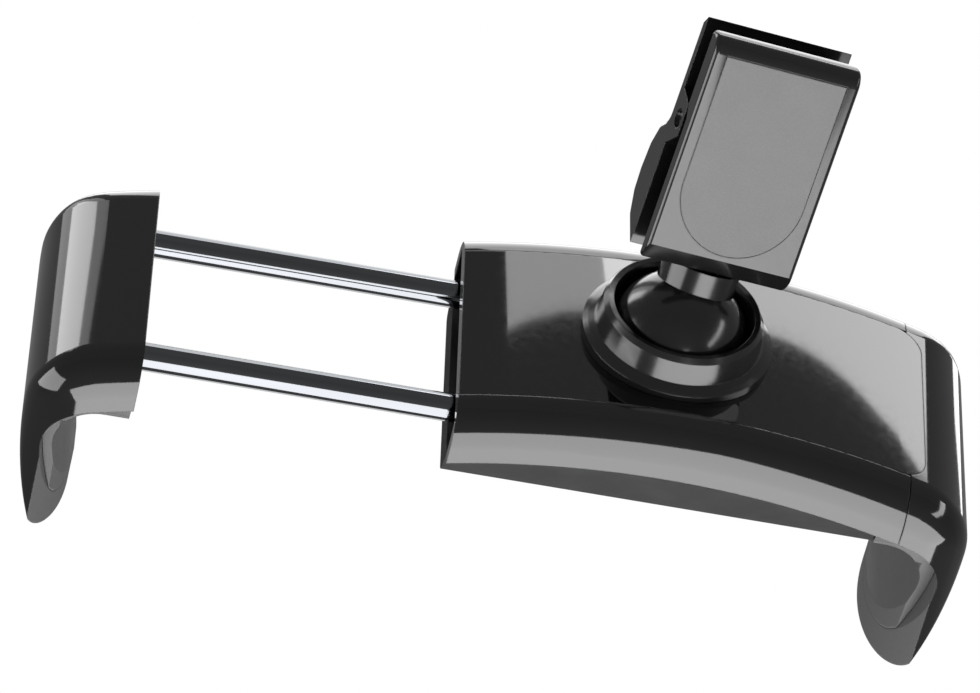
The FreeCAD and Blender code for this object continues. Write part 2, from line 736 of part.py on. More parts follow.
# Chassis: the block that carries the socket cup and guides both rods
def chassis():
    body = add_body("chassis")
    r = sizes["arch_radius"] - sizes["shell_wall"] - sizes["fit_gap"]
    x0, x1 = -sizes["left_end"] + sizes["end_recess"], sizes["cover_seam"] - 2 * sizes["seam_gap"]
    mid, a, b = centred_arch(r, x0, x1)
    sketch = add_sketch(body, "chassis_section", "XY_Plane")
    front = sizes["chassis_front"]
    draw(sketch, [(mid, a, b, 1), (b, (x1, front)), ((x1, front), (x0, front)), ((x0, front), a)])
    sketch.addConstraint(Sketcher.Constraint("Vertical", 1))
    sketch.addConstraint(Sketcher.Constraint("Horizontal", 2))
    sketch.addConstraint(Sketcher.Constraint("Vertical", 3))
    bind_x(sketch, 0, 3, "0")
    bind_y(sketch, 0, 3, ref("arch_radius"))
    bind_radius(sketch, 0, "sizes.arch_radius - sizes.shell_wall - sizes.fit_gap")
    bind_x(sketch, 2, 1, "sizes.cover_seam - 2 * sizes.seam_gap")
    bind_x(sketch, 2, 2, "-sizes.left_end + sizes.end_recess")
    bind_y(sketch, 2, 1, ref("chassis_front"))
    pad(body, sketch, "chassis_pad", "2 * sizes.chassis_half")
    well = add_sketch(body, "cup_well", "XZ_Plane")
    well.addGeometry(Part.Circle(Vec(0, 0, 0), AXIS_Z, sizes["cup_radius"]), False)
    well.addConstraint(Sketcher.Constraint("Coincident", 0, 3, -1, 1))
    bind_radius(well, 0, "sizes.cup_radius + sizes.run_gap")
    pocket(body, well, "cup_bore", "2 * (sizes.cup_step + sizes.run_gap)")
    tail = add_sketch(body, "cup_tail", "XY_Plane")
    gap = sizes["run_gap"]
    y0, y1, y2 = sizes["cup_step"] + gap, sizes["cup_step"] + sizes["cup_cone"], sizes["cup_bottom"] + gap
    r0, r1 = sizes["cup_radius"] + gap, sizes["cup_tail"] + gap
    points = [(0, y0 - 0.5), (r0, y0 - 0.5), (r0, y0), (r1, y1), (r1, y2), (0, y2)]
    draw(tail, [(points[i], points[(i + 1) % 6]) for i in range(6)])
    step = "sizes.cup_step + sizes.run_gap"
    for i, (x, y) in enumerate([
            ("0", step + " - 0.5"), ("sizes.cup_radius + sizes.run_gap", step + " - 0.5"),
            ("sizes.cup_radius + sizes.run_gap", step),
            ("sizes.cup_tail + sizes.run_gap", "sizes.cup_step + sizes.cup_cone"),
            ("sizes.cup_tail + sizes.run_gap", "sizes.cup_bottom + sizes.run_gap"),
            ("0", "sizes.cup_bottom + sizes.run_gap")]):
        bind_x(tail, i, 1, x)
        bind_y(tail, i, 1, y)
    turn_profile(body, tail, "cup_seat", "Y_Axis", cut=True)
    for way, tag in ((1, "upper"), (-1, "lower")):
        hole = add_sketch(body, "guide_bore_" + tag, "YZ_Plane")
        rod_circle(hole, way, "head_radius", " + sizes.head_gap")
        hole.setExpression("AttachmentOffset.Base.z", "-sizes.left_end")
        pocket(body, hole, "guide_" + tag, "2 * sizes.left_end", both=False, turned=True)
    for number, (x, z) in enumerate(((-14, 4), (-14, -4), (16, 4), (16, -4))):
        well = add_sketch(body, "screw_well_%d" % number, "XZ_Plane")
        well.addGeometry(Part.Circle(Vec(x, z, 0), AXIS_Z, sizes["screw_head"]), False)
        bind_x(well, 0, 3, "%d" % x)
        bind_y(well, 0, 3, "%d" % z)
        bind_radius(well, 0, "sizes.screw_head + sizes.fit_gap")
        well.setExpression("AttachmentOffset.Base.z", "-(sizes.chassis_front - 1.2)")
        pocket(body, well, "screw_seat_%d" % number, "3", both=False)
    keep(body, "chassis")


def rods():
    for way, tag in ((1, "upper"), (-1, "lower")):
        body = add_body("rod_" + tag)
        sketch = add_sketch(body, "rod_circle_" + tag, "YZ_Plane")
        rod_circle(sketch, way, "rod_radius", " - 0.01")
        start = "-(sizes.travel + sizes.jaw_seam + sizes.rod_grip - sizes.fit_gap)"
        sketch.setExpression("AttachmentOffset.Base.z", start)
        pad(body, sketch, "rod_bar_" + tag,
            "sizes.travel + sizes.rod_grip - sizes.fit_gap + sizes.rod_inside + "
            "sizes.jaw_seam - sizes.left_end",
            both=False)
        head = add_sketch(body, "rod_head_circle_" + tag, "YZ_Plane")
        rod_circle(head, way, "head_radius", "")
        head.setExpression("AttachmentOffset.Base.z",
                           "sizes.rod_inside - sizes.left_end - sizes.head_length")
        pad(body, head, "rod_head_" + tag, "sizes.head_length", both=False)
        keep(body, "rod_" + tag)
        bush = add_body("bush_" + tag)
        ring = add_sketch(bush, "bush_ring_" + tag, "YZ_Plane")
        centre = Vec(sizes["rod_y"], way * sizes["rod_z"], 0)
        ring.addGeometry(Part.Circle(centre, AXIS_Z, sizes["head_radius"] + 0.05), False)
        ring.addGeometry(Part.Circle(centre, AXIS_Z, sizes["rod_radius"] + 0.03), False)
        bind_x(ring, 0, 3, ref("rod_y"))
        bind_y(ring, 0, 3, "sizes.rod_z" if way > 0 else "-sizes.rod_z")
        ring.addConstraint(Sketcher.Constraint("Coincident", 0, 3, 1, 3))
        bind_radius(ring, 0, "sizes.head_radius + sizes.fit_gap")
        bind_radius(ring, 1, "sizes.rod_radius + sizes.run_gap")
        ring.setExpression("AttachmentOffset.Base.z", "-sizes.left_end + sizes.end_recess")
        pad(bush, ring, "bush_length_" + tag, "sizes.bush_length", both=False)
        keep(bush, "bush_" + tag)


def revolved(name, chain, role, axis, pins, radii=(), tangent=()):
    body = add_body(name)
    sketch = add_sketch(body, name + "_half_section", role)
    ends = draw(sketch, chain, tangent)
    for item, place, x, y in pins:
        at = 3 if place == 3 else ends[item][place - 1]
        if x is not None:
            bind_x(sketch, item, at, x)
        if y is not None:
            bind_y(sketch, item, at, y)
    for item, expression in radii:
        bind_radius(sketch, item, expression)
    doc.recompute()
    turn_profile(body, sketch, name + "_turned", axis)
    return body


# Socket cup: holds the vent-side ball from behind; its spherical seat is open to the vent side
def socket_cup():
    cy = sizes["ball_y"]
    seat = sizes["ball_radius"] + sizes["ball_gap"]
    r0, r1 = sizes["cup_radius"], sizes["cup_tail"]
    y0, y1, y2 = sizes["cup_step"], sizes["cup_step"] + sizes["cup_cone"], sizes["cup_bottom"]
    pole = cy + seat
    chain = [
        ((0, cy), (seat, cy), (0, pole), 1),
        ((0, pole), (0, y2)),
        ((0, y2), (r1, y2)),
        ((r1, y2), (r1, y1)),
        ((r1, y1), (r0, y0)),
        ((r0, y0), (r0, cy)),
        ((r0, cy), (seat, cy)),
    ]
    body = revolved("socket_cup", chain, "XY_Plane", "Y_Axis", [
        (0, 3, "0", "sizes.ball_y"), (0, 1, None, "sizes.ball_y"), (1, 1, "0", None),
        (2, 1, "0", "sizes.cup_bottom"), (3, 1, "sizes.cup_tail", "sizes.cup_bottom"),
        (4, 1, "sizes.cup_tail", "sizes.cup_step + sizes.cup_cone"),
        (5, 1, "sizes.cup_radius", "sizes.cup_step"), (6, 1, "sizes.cup_radius", "sizes.ball_y")],
        [(0, "sizes.ball_radius + sizes.ball_gap")])
    keep(body, "socket_cup")


# Collar: flared ring that screws down over the cup and keeps the ball in
def collar():
    cy, gap = sizes["ball_y"], sizes["ball_gap"]
    seat = sizes["ball_radius"] + gap
    low, catch = cy - gap, cy - sizes["catch"]
    r_low = math.sqrt(seat ** 2 - (low - cy) ** 2)
    r_catch = math.sqrt(seat ** 2 - (catch - cy) ** 2)
    top, bead = -sizes["collar_top"], sizes["bead"]
    r_open, r_rim, r_out = sizes["opening_radius"], sizes["collar_rim"], sizes["collar_radius"]
    thread, foot = sizes["collar_thread"], 1.0
    waist = (r_out - 1.1, -bead - 0.7)
    points = [(r_low, low), (thread, low), (thread, foot), (r_out, foot), (r_out, -bead),
              (r_out - 0.5, -bead - 0.35), waist, (r_rim, top + 0.6), (r_rim - 0.4, top),
              (r_open, top + 0.1), (r_catch, catch)]
    chain = [(points[i], points[i + 1]) for i in range(len(points) - 1)]
    chain.append(((0, cy), points[-1], points[0], 1))
    names = [(None, "sizes.ball_y - sizes.ball_gap"), ("sizes.collar_thread",
             "sizes.ball_y - sizes.ball_gap"),
             ("sizes.collar_thread", "1"), ("sizes.collar_radius", "1"), ("sizes.collar_radius",
                                                                          "-sizes.bead"),
             ("sizes.collar_radius - 0.5", "-sizes.bead - 0.35"), ("sizes.collar_radius - 1.1",
                                                                   "-sizes.bead - 0.7"),
             ("sizes.collar_rim", "-sizes.collar_top + 0.6"), ("sizes.collar_rim - 0.4",
                                                               "-sizes.collar_top"),
             ("sizes.opening_radius", "-sizes.collar_top + 0.1"), (None, "sizes.ball_y - sizes.catch")]
    pins = [(i, 1, x, y) for i, (x, y) in enumerate(names)]
    pins.append((10, 3, "0", "sizes.ball_y"))
    body = revolved("collar_turned", chain, "XY_Plane", "Y_Axis", pins,
                    [(10, "sizes.ball_radius + sizes.ball_gap")])
    arch = add_body("collar_foot")
    seat_sketch = add_sketch(arch, "collar_arch", "XY_Plane")
    r = sizes["arch_radius"] - sizes["fit_gap"] + 0.1
    arch_band(seat_sketch, r, r - 20, -20, 20, (
        "sizes.arch_radius + sizes.fit_gap", "sizes.arch_radius - 20", "-20", "20"))
    pad(arch, seat_sketch, "collar_arch_pad", "40")
    hole = add_sketch(arch, "collar_core", "XZ_Plane")
    hole.addGeometry(Part.Circle(Vec(0, 0, 0), AXIS_Z, sizes["collar_thread"] - 0.02), False)
    hole.addConstraint(Sketcher.Constraint("Coincident", 0, 3, -1, 1))
    bind_radius(hole, 0, "sizes.collar_thread - 0.02")
    pocket(arch, hole, "collar_core_cut", "60")
    keep(join("Cut", "collar", body, arch), "collar")


# Ball with its neck and the spigot that the clip turns on
def ball_stud():
    r, n, g = sizes["ball_radius"], sizes["neck_radius"], sizes["spigot_radius"]
    end, tip = -sizes["neck_end"], -sizes["spigot_end"]
    y = -math.sqrt(r * r - n * n)
    chain = [((0, 0), (n, y), (0, r), 1), ((0, r), (0, tip)), ((0, tip), (g, tip)),
             ((g, tip), (g, end)), ((g, end), (n, end)), ((n, end), (n, y))]
    body = revolved("ball_stud", chain, "XY_Plane", "Y_Axis", [
        (0, 3, "0", "0"), (0, 1, "sizes.neck_radius", None), (1, 1, "0", None),
        (2, 1, "0", "-sizes.spigot_end"), (3, 1, "sizes.spigot_radius", "-sizes.spigot_end"),
        (4, 1, "sizes.spigot_radius", "-sizes.neck_end"), (5, 1, "sizes.neck_radius", "-sizes.neck_end")],
        [(0, "sizes.ball_radius")])
    keep(body, "ball_stud")


def side_profile(body, label, points, names):
    sketch = outline(body, label, "YZ_Plane", [(-d, z) for d, z in points],
                     [("-(%s)" % d, z) for d, z in names])
    return sketch


# Fixed half of the clip: pad plate, raised core with the spigot bore, pivot rib and lower tip
def clip_body():
    body = add_body("clip_body")
    low, tip, pz, t = sizes["clip_low"], sizes["clip_tip"], sizes["plate_z"], sizes["plate_thick"]
    points = [(low, -pz), (tip, -pz), (tip, -pz + t + 0.8), (sizes["grip_low"] - 1.5, -pz + t + 0.8),
              (sizes["grip_low"] - 3, -pz + t), (low, -pz + t)]
    names = [("sizes.clip_low", "-sizes.plate_z"), ("sizes.clip_tip", "-sizes.plate_z"),
             ("sizes.clip_tip", "-sizes.plate_z + sizes.plate_thick + 0.8"),
             ("sizes.grip_low - 1.5", "-sizes.plate_z + sizes.plate_thick + 0.8"),
             ("sizes.grip_low - 3", "-sizes.plate_z + sizes.plate_thick"),
             ("sizes.clip_low", "-sizes.plate_z + sizes.plate_thick")]
    pad(body, side_profile(body, "plate_side", points, names), "plate_pad", "2 * sizes.clip_half")
    core = [(low, -pz + t - 0.5), (sizes["core_end"], -pz + t - 0.5), (sizes["core_end"], sizes["core_top"]),
            (20.5, sizes["core_top"]), (18.9, sizes["core_high"]), (low, sizes["core_high"])]
    names = [("sizes.clip_low", "-sizes.plate_z + sizes.plate_thick - 0.5"),
             ("sizes.core_end", "-sizes.plate_z + sizes.plate_thick - 0.5"),
             ("sizes.core_end", "sizes.core_top"), ("20.5", "sizes.core_top"), ("18.9", "sizes.core_high"),
             ("sizes.clip_low", "sizes.core_high")]
    last = pad(body, side_profile(body, "core_side", core, names), "core_pad", "2 * sizes.core_half")

    def plate_edge(edge):
        box = edge.BoundBox
        return box.XLength > 12 and abs(box.ZMax + pz) < 0.01 and box.YLength < 0.01
    last = rounding(body, last, "plate_ends", ref("plate_round"), plate_edge)
    half = sizes["clip_half"]

    def long_edge(edge):
        box = edge.BoundBox
        upright = abs(abs(box.XMax) - half) < 0.01 and box.XLength < 0.01
        return upright and abs(box.ZMin + pz) < 0.01 and box.YLength > 15
    last = rounding(body, last, "plate_sides", "0.5", long_edge)
    slot = outline(body, "coil_slot", "XY_Plane", [
        (-2.4, -sizes["core_end"] - 1), (2.4, -sizes["core_end"] - 1), (2.4, -19.3), (-2.4, -19.3)], [
        ("-2.4", "-sizes.core_end - 1"), ("2.4", "-sizes.core_end - 1"), ("2.4", "-19.3"),
        ("-2.4", "-19.3")])
    slot.setExpression("AttachmentOffset.Base.z", "sizes.core_high + 1")
    pocket(body, slot, "coil_room", "sizes.core_high + 1 + sizes.plate_z - sizes.plate_thick", both=False)
    bore = add_sketch(body, "spigot_bore", "XZ_Plane")
    bore.addGeometry(Part.Circle(Vec(0, 0, 0), AXIS_Z, sizes["spigot_radius"]), False)
    bore.addConstraint(Sketcher.Constraint("Coincident", 0, 3, -1, 1))
    bind_radius(bore, 0, "sizes.spigot_radius + sizes.run_gap")
    pocket(body, bore, "spigot_room", "2 * (sizes.spigot_end + 0.2)")
    pin_hole(body, "clip_pin", " - 0.01")
    u_recess(body)
    place_clip(keep(body, "clip_body"))


def pin_hole(body, label, extra):
    hole = add_sketch(body, label + "_hole", "YZ_Plane")
    centre = Vec(-sizes["pivot_d"], sizes["pivot_z"], 0)
    hole.addGeometry(Part.Circle(centre, AXIS_Z, sizes["pin_radius"]), False)
    bind_x(hole, 0, 3, "-sizes.pivot_d")
    bind_y(hole, 0, 3, "sizes.pivot_z")
    bind_radius(hole, 0, "sizes.pin_radius%s" % extra)
    pocket(body, hole, label + "_bore", "20")


# Outline of the thumb pad: straight sides, rounded end toward the ball
def u_outline(body, label, gap):
    sketch = add_sketch(body, label, "XY_Plane")
    w = sizes["thumb_half"] - gap
    low, high = sizes["thumb_low"] + gap, sizes["thumb_high"] - gap
    y = -(low + w)
    chain = [((0, y), (w, y), (-w, y), 1), ((-w, y), (-w, -high)), ((-w, -high), (w, -high)),
             ((w, -high), (w, y))]
    draw(sketch, chain, (0, 3))
    less = "" if not gap else " - sizes.fit_gap"
    more = "" if not gap else " + sizes.fit_gap"
    sketch.addConstraint(Sketcher.Constraint("Horizontal", 2))
    bind_x(sketch, 0, 3, "0")
    bind_y(sketch, 0, 3, "-(sizes.thumb_low%s + sizes.thumb_half%s)" % (more, less))
    bind_radius(sketch, 0, "sizes.thumb_half" + less)
    bind_y(sketch, 2, 1, "-(sizes.thumb_high%s)" % less)
    sketch.setExpression("AttachmentOffset.Base.z", "-sizes.plate_z")
    return sketch


def u_recess(body):
    sketch = u_outline(body, "thumb_seat", 0)
    pocket(body, sketch, "thumb_recess", "2 * sizes.thumb_thick")


def place_clip(thing):
    turn = "create(<<rotation>>; sizes.clip_yaw; sizes.clip_pitch; sizes.clip_roll)"
    base = "create(<<vector>>; 0; sizes.ball_y - sizes.face_y; 0)"
    thing.setExpression("Placement", "create(<<placement>>; %s; %s)" % (base, turn))


# Moves the origin from the crown of the back to the face that the phone rests on
def set_origin():
    for node in nodes:
        placed = [path.strip(".") for path, rule in node.ExpressionEngine]
        if "Placement" not in placed:
            node.setExpression("Placement.Base.y", "0 - sizes.face_y")


def thumb_pad():
    body = add_body("thumb_pad")
    sketch = u_outline(body, "thumb_outline", sizes["fit_gap"])
    pad(body, sketch, "thumb_body", "sizes.thumb_thick - sizes.fit_gap", both=False)
    place_clip(keep(body, "thumb_pad"))


# Moving half of the clip: straight jaw with a raised arch for the finger
def clip_lever():
    body = add_body("clip_lever")
    low, tip, top, wall = sizes["lever_low"], sizes["lever_tip"], sizes["lever_top"], sizes["lever_wall"]
    high = sizes["arch_top"]
    floor = sizes["cheek_low"]
    jaw = top - wall
    points = [(low, floor), (low, 1.6), (10.8, 4.0), (13.3, high - 0.2), (15.8, high), (18.8, high - 0.35),
              (21.2, 3.9), (22.4, top), (tip - 0.6, top), (tip, top - 0.6), (tip, jaw), (26.3, jaw),
              (25.3, -2.2), (21.7, -2.2), (20.1, floor)]
    names = [("sizes.lever_low", "sizes.cheek_low"), ("sizes.lever_low", "1.6"), ("10.8", "4.0"),
             ("13.3", "sizes.arch_top - 0.2"), ("15.8", "sizes.arch_top"), ("18.8", "sizes.arch_top - 0.35"),
             ("21.2", "3.9"), ("22.4", "sizes.lever_top"), ("sizes.lever_tip - 0.6", "sizes.lever_top"),
             ("sizes.lever_tip", "sizes.lever_top - 0.6"), ("sizes.lever_tip",
                                                            "sizes.lever_top - sizes.lever_wall"),
             ("26.3", "sizes.lever_top - sizes.lever_wall"), ("25.3", "-2.2"), ("21.7", "-2.2"),
             ("20.1", "sizes.cheek_low")]
    last = pad(body, side_profile(body, "lever_side", points, names), "lever_pad", "2 * sizes.cheek_half")
    half = sizes["cheek_half"]

    def arch_edge(edge):
        box = edge.BoundBox
        return box.XLength > 12 and box.ZMin > 1.5 and box.YMin > -23.3 and box.YMax < -9.8
    last = rounding(body, last, "lever_bend", "1.5", arch_edge)

    def side_edge(edge):
        box = edge.BoundBox
        upright = abs(abs(box.XMax) - half) < 0.01 and box.XLength < 0.01
        return upright and box.ZMax > 1.7 and box.YLength > 0.4
    last = rounding(body, last, "lever_sides", "0.7", side_edge)
    room = [(low - 1, floor - 1), (low - 1, 2.4), (12.0, 3.7), (13.6, high - wall - 0.1),
            (18.4, high - wall - 0.2), (19.8, 2.9), (20.8, 1.2), (25.6, 1.2), (25.6, -3)]
    spec = [("sizes.lever_low - 1", "sizes.cheek_low - 1"), ("sizes.lever_low - 1", "2.4"), ("12.0", "3.7"),
            ("13.6", "sizes.arch_top - sizes.lever_wall - 0.1"),
            ("18.4", "sizes.arch_top - sizes.lever_wall - 0.2"),
            ("19.8", "2.9"), ("20.8", "1.2"), ("25.6", "1.2"), ("25.6", "-3")]
    pocket(body, side_profile(body, "lever_room", room, spec), "lever_hollow",
           "2 * (sizes.core_half + sizes.cheek_gap)")
    notch = outline(body, "neck_notch", "XY_Plane", [
        (-4.6, -low + 1), (4.6, -low + 1), (4.6, -11.4), (-4.6, -11.4)], [
        ("-sizes.core_half - sizes.cheek_gap", "-sizes.lever_low + 1"),
        ("sizes.core_half + sizes.cheek_gap", "-sizes.lever_low + 1"),
        ("sizes.core_half + sizes.cheek_gap", "-11.4"), ("-sizes.core_half - sizes.cheek_gap", "-11.4")])
    pocket(body, notch, "neck_room", "20")
    pin_hole(body, "lever_pin", " + sizes.run_gap")
    place_clip(keep(body, "clip_lever"))


def hinge_pin():
    body = add_body("hinge_pin")
    sketch = add_sketch(body, "pin_circle", "YZ_Plane")
    centre = Vec(-sizes["pivot_d"], sizes["pivot_z"], 0)
    sketch.addGeometry(Part.Circle(centre, AXIS_Z, sizes["pin_radius"] - 0.02), False)
    bind_x(sketch, 0, 3, "-sizes.pivot_d")
    bind_y(sketch, 0, 3, "sizes.pivot_z")
    bind_radius(sketch, 0, "sizes.pin_radius - 0.02")
    pad(body, sketch, "pin_length", "2 * sizes.pin_half")
    place_clip(keep(body, "hinge_pin"))


# Rubber grips that bear on the vent louvre, ribbed across
def grip(name, sign):
    body = add_body(name)
    pz = sizes["plate_z"] - sizes["plate_thick"] - 0.8
    seat = sizes["lever_top"] - sizes["lever_wall"] - sizes["fit_gap"]
    if sign < 0:
        seat = -pz + sizes["fit_gap"]
    face = -sizes["grip_mid"] + sign * sizes["grip_gap"] / 2
    low, high = sizes["grip_low"], sizes["grip_high"]
    seat_name = "-(sizes.plate_z - sizes.plate_thick - 0.8) + sizes.fit_gap"
    if sign > 0:
        seat_name = "sizes.lever_top - sizes.lever_wall - sizes.fit_gap"
    face_name = "-sizes.grip_mid %s sizes.grip_gap / 2" % ("+" if sign > 0 else "-")
    points = [(low, seat), (low + 0.4, face), (high - 0.4, face), (high, seat)]
    names = [("sizes.grip_low", seat_name), ("sizes.grip_low + 0.4", face_name),
             ("sizes.grip_high - 0.4", face_name), ("sizes.grip_high", seat_name)]
    pad(body, side_profile(body, name + "_side", points, names), name + "_pad", "2 * sizes.grip_half")
    place_clip(keep(body, name))


# Torsion spring: a coil round the hinge pin
def torsion_spring():
    helix = doc.addObject("Part::Helix", "coil_path")
    helix.setExpression("Radius", ref("coil_radius"))
    helix.setExpression("Pitch", ref("coil_pitch"))
    helix.setExpression("Height", "sizes.coil_pitch * sizes.coil_turns")
    wire = doc.addObject("Part::Circle", "coil_wire_section")
    wire.setExpression("Radius", ref("coil_wire"))
    wire.setExpression("Placement.Base.x", ref("coil_radius"))
    wire.Placement.Rotation = FreeCAD.Rotation(Vec(1, 0, 0), 90)
    coil = doc.addObject("Part::Sweep", "torsion_spring")
    coil.Sections = [wire]
    coil.Spine = (helix, ["Edge1"])
    coil.Solid = True
    coil.Frenet = True
    turn = "create(<<rotation>>; sizes.clip_yaw; sizes.clip_pitch; sizes.clip_roll)"
    own = "create(<<placement>>; create(<<vector>>; -sizes.coil_pitch * sizes.coil_turns / 2; "
    own += "-sizes.pivot_d; sizes.pivot_z); create(<<rotation>>; 0; 90; 0))"
    base = "create(<<placement>>; create(<<vector>>; 0; sizes.ball_y - sizes.face_y; 0); %s)" % turn
    coil.setExpression("Placement", "%s * %s" % (base, own))
    keep(coil, "torsion_spring")


# Four short screws that hold the front pad's chassis to the shell
def housing_screws():
    parts = []
    for number, (x, z) in enumerate(((-14, 4), (-14, -4), (16, 4), (16, -4))):
        body = add_body("screw_%d" % number)
        head = add_sketch(body, "screw_head_%d" % number, "XZ_Plane")
        head.addGeometry(Part.Circle(Vec(x, z, 0), AXIS_Z, sizes["screw_head"]), False)
        bind_x(head, 0, 3, "%d" % x)
        bind_y(head, 0, 3, "%d" % z)
        bind_radius(head, 0, ref("screw_head"))
        head.setExpression("AttachmentOffset.Base.z", "-(sizes.chassis_front - sizes.fit_gap)")
        pad(body, head, "screw_cap_%d" % number, "1.1", both=False)
        drive = add_sketch(body, "screw_drive_%d" % number, "XZ_Plane")
        drive.addGeometry(Part.Circle(Vec(x, z, 0), AXIS_Z, sizes["screw_drive"]), False)
        bind_x(drive, 0, 3, "%d" % x)
        bind_y(drive, 0, 3, "%d" % z)
        bind_radius(drive, 0, ref("screw_drive"))
        drive.setExpression("AttachmentOffset.Base.z", "-(sizes.chassis_front - sizes.fit_gap)")
        pocket(body, drive, "screw_socket_%d" % number, "1.2")
        parts.append(body)
    group = doc.addObject("Part::Compound", "housing_screws")
    group.Links = parts
    keep(group, "housing_screws")


main_shell()
keep(doc.getObject("main_shell"), "main_shell")
keep(panel_plate("back_panel", sizes["fit_gap"], True), "back_panel")
jaws()
front_pad()
chassis()
rods()
socket_cup()
collar()
ball_stud()
place_clip(doc.getObject("ball_stud"))
clip_body()
clip_lever()
thumb_pad()
hinge_pin()
grip("lower_grip", -1)
grip("upper_grip", 1)
torsion_spring()
housing_screws()
set_origin()
doc.recompute()

failed = [item.Name for item in doc.Objects if "Invalid" in item.State or "Error" in item.State]
failed += [node.Label for node in nodes if node.Shape.isNull() or not node.Shape.isValid()]
if failed:
    raise RuntimeError("failed: " + ", ".join(failed))
os.makedirs("parts", exist_ok=True)
for node in nodes:
    node.Shape.exportStep("parts/%s.step" % node.Label)
print("parts written:", len(nodes))
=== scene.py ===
import math

import bpy
from mathutils import Matrix, Vector


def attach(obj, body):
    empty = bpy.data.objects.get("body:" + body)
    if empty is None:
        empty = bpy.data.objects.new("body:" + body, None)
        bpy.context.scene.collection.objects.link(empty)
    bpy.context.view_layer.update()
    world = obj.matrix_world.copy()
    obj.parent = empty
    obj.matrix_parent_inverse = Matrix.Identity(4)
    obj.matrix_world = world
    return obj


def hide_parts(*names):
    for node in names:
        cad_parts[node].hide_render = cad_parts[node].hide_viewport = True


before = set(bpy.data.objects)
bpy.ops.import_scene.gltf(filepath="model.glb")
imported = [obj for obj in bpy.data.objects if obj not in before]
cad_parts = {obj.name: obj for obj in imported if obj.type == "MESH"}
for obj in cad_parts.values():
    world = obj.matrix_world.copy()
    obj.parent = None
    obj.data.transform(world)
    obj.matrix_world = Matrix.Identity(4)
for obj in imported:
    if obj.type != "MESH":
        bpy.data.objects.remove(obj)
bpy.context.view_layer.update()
print("frame loaded:", len(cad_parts), "nodes")


# Colour and material helpers
def linear(hexColour):
    parts = [int(hexColour[i:i + 2], 16) / 255 for i in (0, 2, 4)]
    return tuple(c / 12.92 if c <= 0.04045 else ((c + 0.055) / 1.055) ** 2.4 for c in parts) + (1,)


def newMaterial(name):
    material = bpy.data.materials.new(name)
    material.use_nodes = True
    tree = material.node_tree
    return tree, tree.nodes["Principled BSDF"]


# Links or sets the given inputs of a node
def fill(tree, node, inputs):
    for key, value in inputs.items():
        if isinstance(value, bpy.types.NodeSocket):
            tree.links.new(value, node.inputs[key])
        else:
            node.inputs[key].default_value = value


def addNode(tree, kind, inputs=None, **settings):
    node = tree.nodes.new(kind)
    for key, value in settings.items():
        setattr(node, key, value)
    fill(tree, node, inputs or {})
    return node


# Millimetres in a metre
perMetre = 1000
# Range of the noise that counts, and how finely each noise is broken up
noiseValues = {"low": 0.3, "high": 0.7, "waveDetail": 2, "plasticDetail": 3, "rubberDetail": 4,
               "metalDetail": 3}
# Moulded edges are a little round: 0.18 mm
edgeValues = {"radius": 0.00018, "samples": 4}


# Noise with a size in millimetres, read from the piece's own coordinates
def grain(tree, size, detail):
    place = addNode(tree, "ShaderNodeTexCoord")
    scaled = addNode(tree, "ShaderNodeMapping", {"Vector": place.outputs["Object"],
                                                 "Scale": (perMetre,) * 3})
    noise = addNode(tree, "ShaderNodeTexNoise", {"Vector": scaled.outputs[0], "Scale": 1 / size,
                                                 "Detail": detail})
    return noise.outputs["Fac"]


# Turns noise into a value between two, for roughness
def spread(tree, source, low, high):
    node = addNode(tree, "ShaderNodeMapRange", {"Value": source, "From Min": noiseValues["low"],
                                                "From Max": noiseValues["high"],
                                                "To Min": low, "To Max": high})
    return node.outputs[0]


# Turns noise into a colour between two; a mix node has its colours on sockets 6, 7 and 2
def tint(tree, source, dark, light):
    mix = addNode(tree, "ShaderNodeMix", {"Factor": source}, data_type="RGBA")
    fill(tree, mix, {6: linear(dark), 7: linear(light)})
    return mix.outputs[2]


# Turns noise into a bump, its height in millimetres, over the small edge rounding
def bump(tree, source, height):
    edge = addNode(tree, "ShaderNodeBevel", {"Radius": edgeValues["radius"]},
                   samples=edgeValues["samples"])
    node = addNode(tree, "ShaderNodeBump", {"Height": source, "Strength": 1.0,
                                            "Distance": height / perMetre, "Normal": edge.outputs[0]})
    return node.outputs[0]


# Moulded plastic with a faint unevenness
def moulded(name, values):
    tree, shader = newMaterial(name)
    wave = grain(tree, values["wave"], noiseValues["waveDetail"])
    fine = grain(tree, values["fine"], noiseValues["plasticDetail"])
    fill(tree, shader, {"Base Color": tint(tree, wave, values["dark"], values["light"]),
                        "Roughness": spread(tree, fine, values["smooth"], values["rough"]),
                        "Normal": bump(tree, fine, values["height"]), "IOR": values["ior"],
                        "Coat Weight": values["coat"], "Coat Roughness": values["smooth"]})
    return bpy.data.materials[name]


# Elastomer with a fine moulded grain
def elastomer(name, values):
    tree, shader = newMaterial(name)
    fine = grain(tree, values["fine"], noiseValues["rubberDetail"])
    wave = grain(tree, values["wave"], noiseValues["waveDetail"])
    fill(tree, shader, {"Base Color": tint(tree, fine, values["dark"], values["light"]),
                        "Roughness": spread(tree, wave, values["smooth"], values["rough"]),
                        "Normal": bump(tree, fine, values["height"]), "IOR": values["ior"]})
    return bpy.data.materials[name]


# Where a jaw is overmoulded: X part of its face's normal, and metres from the origin toward the phone
overmouldValues = {"turnStart": 0.60, "turnEnd": 0.66, "frontStart": 0.0005, "frontEnd": 0.0006}


